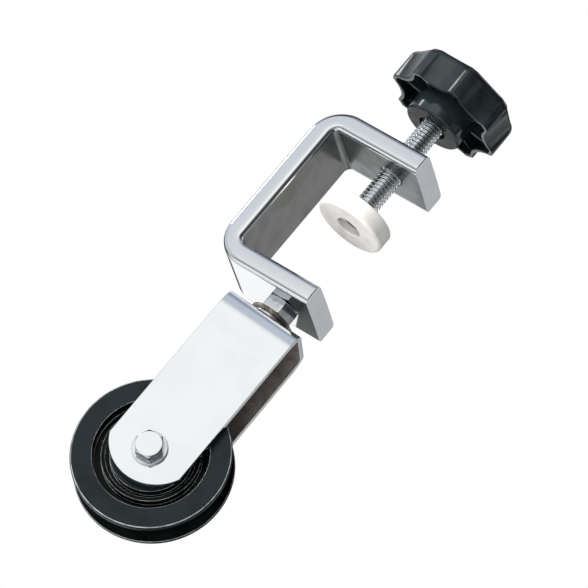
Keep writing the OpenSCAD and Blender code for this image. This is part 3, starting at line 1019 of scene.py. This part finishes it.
def makeClampScrew():
    radius = screwHigh.x
    seat = padHigh.z - padSet["seatDepth"] + 0.1
    values = {"Major": radius, "Minor": radius - threadSet["screwDepth"] * 1.25,
              "Pitch": threadSet["screwPitch"], "Start": seat, "End": screwHigh.z}
    thread = grow("screwThread", threadTree, values, "screwSteel")
    finishShape(thread, smoothAngle=180)
    neck = 2.6
    section = rounded([(0, screwLow.z), (neck, screwLow.z, 0.5), (neck, seat + 1), (0, seat + 1)], 4)
    journal = newPiece("screwJournal", turned(section, 48), ["screwSteel"])
    finishShape(journal)
    # the journal inside the pad gets the dark steel: painted shade
    whole = joined("clampScrew", [thread, journal], ["screwSteel", "padHoleShadedSteel"])
    fit(whole, "screw", "zinc_steel", "clamp_screw")


def makePad(s):
    low, high, r = padLow.z, padHigh.z, s["radius"]
    seat, hole = high - s["seatDepth"], low + s["holeDepth"]
    section = rounded([(s["hole"], low, 0.35), (r, low, s["edge"]), (r, high, s["topEdge"]),
                       (s["seat"], high, 0.3), (s["seat"], seat), (s["journal"], seat),
                       (s["journal"], hole), (s["hole"], hole, 0.3)], 5)
    piece = newPiece("pressurePad", turned(section, 112), ["padWhite"])
    finishShape(piece)
    fit(piece, "pad", "white_pad", "pressure_pad")


makeClampScrew()
makePad(padSet)
print("screw and pad made")


# Star knob: a turned blank with a hollow underside, scalloped, then ribbed
knobSet = {"radius": 21.0, "rimHeight": 12.5, "lobes": 8, "scallopDepth": 3.3, "scallopRadius": 10.5,
           "turn": clampTurn + math.radians(2), "wall": 1.7, "roof": 3.2, "hub": 10.6, "hubFlare": 0.6,
           "mouth": screwHigh.x + 1.1, "mouthDepth": 1.8, "insert": 5.6, "insertTall": 11.0, "topEdge": 3.0,
           "lip": 0.4, "ridge": 0.8, "topShare": 0.35, "rib": 1.4, "ribDrop": 1.6}


def makeStarKnob(s):
    top, hubBottom = knobHigh.z, knobLow.z
    rim = top - s["rimHeight"]
    roof = top - s["roof"]
    outer, wall, hub = s["radius"], s["wall"], s["hub"]
    core = hub + s["hubFlare"] + 0.4
    mouthTop = hubBottom + s["mouthDepth"]
    boreTop = mouthTop + s["insertTall"]
    section = rounded([(0, top), (core, top), (outer, top, s["topEdge"]), (outer, rim, s["lip"]),
                       (outer - wall, rim, s["lip"]), (outer - wall, roof, 1.2),
                       (hub + s["hubFlare"], roof, 0.8), (hub, hubBottom, 0.9),
                       (s["mouth"], hubBottom, 0.35), (s["mouth"], mouthTop), (s["insert"], mouthTop),
                       (s["insert"], boreTop), (0, boreTop)], 5)
    blank = newPiece("knobBlank", turned(section, 384), ["knobBlack"])
    values = {"Radius": outer, "Lobes": s["lobes"], "Scallop Depth": s["scallopDepth"],
              "Scallop Radius": s["scallopRadius"], "Turn": s["turn"], "Core": core, "Wall": wall,
              "Ridge Softness": s["ridge"], "Rim": rim, "Top": top, "Top Share": s["topShare"]}
    body = grow("knobBody", scallopTree, values, "knobBlack", blank)
    finishShape(body, smoothAngle=50)
    for face in body.data.polygons:
        hubFace = face.normal.z < -0.9 and math.hypot(face.center.x, face.center.y) < core * mm
        face.material_index = 1 if hubFace else 0
    values = {"Count": s["lobes"], "Inner": hub - 0.5, "Outer": outer - wall - 0.4,
              "Bottom": rim + s["ribDrop"], "Top": roof + 0.5, "Thickness": s["rib"],
              "Turn": s["turn"] + math.pi / s["lobes"]}
    ribs = grow("knobRibs", ribTree, values, "knobBlack")
    finishShape(ribs, None, 0.25, 40, 2)
    fit(joined("starKnob", [body, ribs], ["knobBlack", "knobDark"]), "screw", "black_knob", "star_knob")


def makeKnobInsert():
    low, high = boxOf("knob_insert")
    section = washerSection(screwHigh.x + 0.02, high.x, low.z, high.z, 0.2)
    piece = newPiece("knobInsert", turned(section, 64), ["tanBrass"])
    finishShape(piece)
    fit(piece, "screw", "brass_washer", "knob_insert")


makeStarKnob(knobSet)
makeKnobInsert()
print("knob made")


# Surroundings. Each soft panel of the sky: azimuth, elevation, inner and outer half-angle, colour.
# Azimuth 0 is in front of the yoke, and 90 is on the clamp's open side.
skyBase = (0.045, 0.05, 0.055)
softPanels = [
    (-19, 10, 11, 32, (0.93, 0.945, 0.94)),
    (-36, 8, 16, 38, (0.64, 0.67, 0.72)),
    (-26, 40, 4, 24, (0.50, 0.55, 0.64)),
    (-30, 60, 10, 26, (0.30, 0.34, 0.42)),
    (5, -18, 18, 46, (0.25, 0.28, 0.30)),
    (82, 18, 8, 20, (0.27, 0.27, 0.27)),
    (118, 22, 5, 14, (0.9, 0.9, 0.9)),
    (-75, -5, 20, 42, (0.53, 0.56, 0.60)),
    (128, -22, 14, 30, (0.60, 0.62, 0.65)),
    (-60, 80, 3, 8, (0.95, 0.95, 0.95)),
    (142, 16, 12, 30, (0.46, 0.47, 0.48)),
    (199, -19, 14, 25, (1.0, 1.0, 1.0)),
    (240, 25, 10, 30, (0.7, 0.72, 0.75)),
    (165, 60, 8, 24, (0.7, 0.7, 0.7)),
]


def makeSky():
    world = bpy.data.worlds.new("sky")
    scene.world = world
    world.use_nodes = True
    tree = world.node_tree
    background = tree.nodes["Background"]
    toward = tree.nodes.new("ShaderNodeTexCoord").outputs["Generated"]
    color = skyBase
    for azimuth, elevation, inner, outer, tint in softPanels:
        dot = tree.nodes.new("ShaderNodeVectorMath")
        dot.operation = "DOT_PRODUCT"
        feed(tree, dot.inputs[0], toward)
        dot.inputs[1].default_value = directionAt(azimuth, elevation)
        low, high = math.cos(math.radians(outer)), math.cos(math.radians(inner))
        share = rescale(tree, dot.outputs["Value"], low, high)
        color = blendColors(tree, share, color, tint, "LIGHTEN")
    seen = tree.nodes.new("ShaderNodeLightPath").outputs["Is Camera Ray"]
    feed(tree, background.inputs["Color"], blendColors(tree, seen, color, (1, 1, 1)))


lampSet = {
    "keyLamp": {"azimuth": -34, "elevation": 4, "distance": 1.2, "size": 0.5, "power": 16},
    "lowLamp": {"azimuth": 10, "elevation": -50, "distance": 0.85, "size": 0.5, "power": 5},
    "topLamp": {"azimuth": 160, "elevation": 62, "distance": 1.1, "size": 0.6, "power": 9},
    "sideGlint": {"azimuth": -78, "elevation": 20, "distance": 1.1, "size": 0.16, "power": 0.5,
                  "glint": True},
}


def makeLamp(name, s):
    data = bpy.data.lights.new(name, "AREA")
    data.size = s["size"]
    data.energy = s["power"]
    lamp = bpy.data.objects.new(name, data)
    glint = s.get("glint", False)  # a glint is only mirrored, and the other lamps only light
    lamp.visible_glossy = glint
    lamp.visible_diffuse = not glint
    scene.collection.objects.link(lamp)
    away = directionAt(s["azimuth"], s["elevation"])
    aimed = away.to_track_quat("Z", "Y").to_matrix().to_4x4()
    lamp.matrix_world = Matrix.Translation(away * s["distance"]) @ aimed


def makeFloor():
    build = bmesh.new()
    bmesh.ops.create_circle(build, cap_ends=True, radius=1.5, segments=96)
    mesh = bpy.data.meshes.new("floor")
    build.to_mesh(mesh)
    build.free()
    mesh.transform(Matrix.Translation((0, 0, -0.9)))
    floor = bpy.data.objects.new("floor", mesh)
    scene.collection.objects.link(floor)
    material, tree, shader, place = startMaterial("paleFloor", {"Specular IOR Level": 0.2})
    cloud = useGroup(tree, mottle, place, Scale=3.0, Low=0.2, High=0.8)["Value"]
    tone = blendColors(tree, cloud, (0.90, 0.90, 0.90), (0.86, 0.86, 0.86))
    feed(tree, shader.inputs["Base Color"], tone)
    shader.inputs["Roughness"].default_value = 0.7
    mesh.materials.append(material)


makeSky()
for name, values in lampSet.items():
    makeLamp(name, values)
makeFloor()
print("sky, lamps and floor made")
